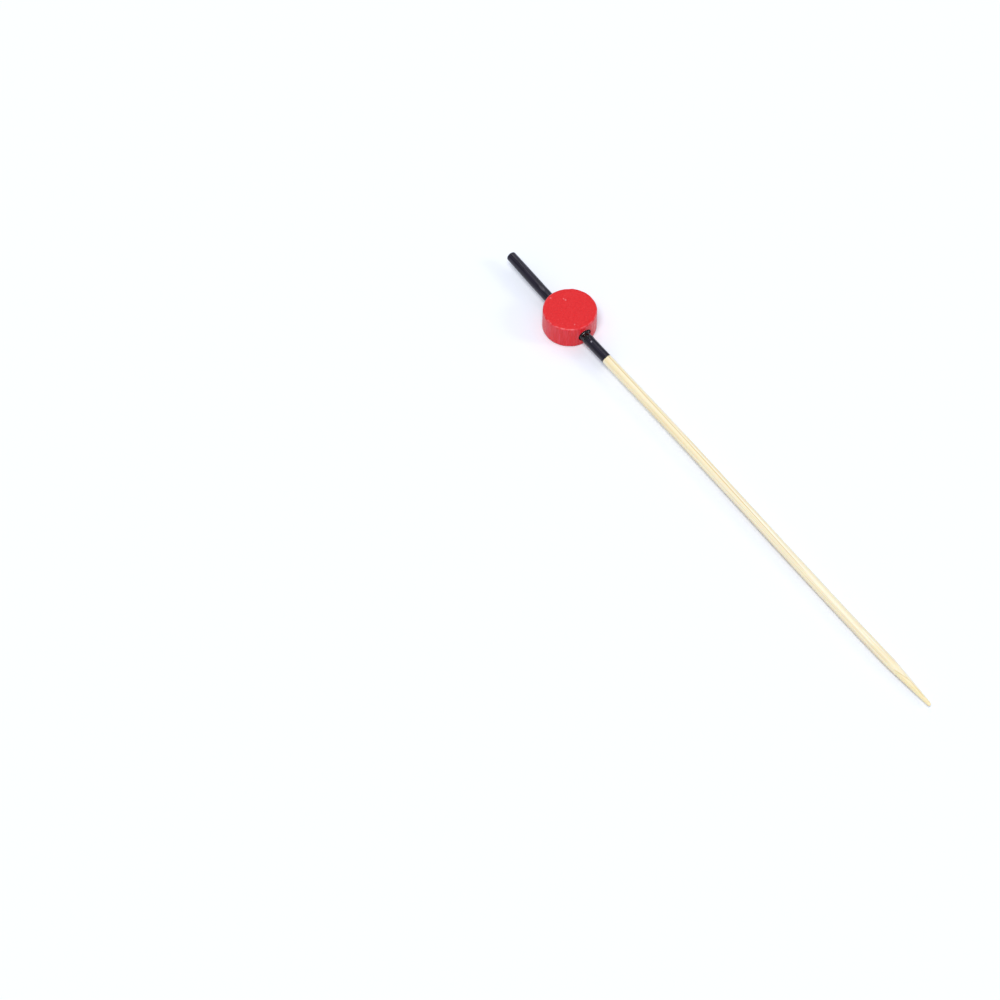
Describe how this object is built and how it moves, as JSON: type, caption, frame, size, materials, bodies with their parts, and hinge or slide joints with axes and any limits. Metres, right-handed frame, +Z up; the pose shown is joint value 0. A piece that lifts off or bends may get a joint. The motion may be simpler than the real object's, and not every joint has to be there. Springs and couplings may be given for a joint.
{
  "type": "cocktail pick",
  "caption": "Round bamboo cocktail pick with a ground point, a black dyed tail and a red disc bead glued on edgewise near the tail.",
  "frame": {"origin": "centre of the bead's lower flat face", "axes": "+X along the stick from the tail towards the point, +Z up along the bead's own axis, +Y to the side"},
  "size_m": [0.15, 0.0122, 0.006],
  "materials": {
    "bamboo": "ground smooth along the grain; the black_lacquer slot covers the last 37 mm before the tail",
    "black_lacquer": "satin black lacquer over the dyed end of the bamboo",
    "painted_bead": "satin red paint over turned wood",
    "clear_glue": "clear cured adhesive, glossy"
  },
  "bodies": {
    "root": {"bamboo_stick": "bamboo", "disc_bead": "painted_bead", "glue_bond": "clear_glue"}
  },
  "joints": []
}
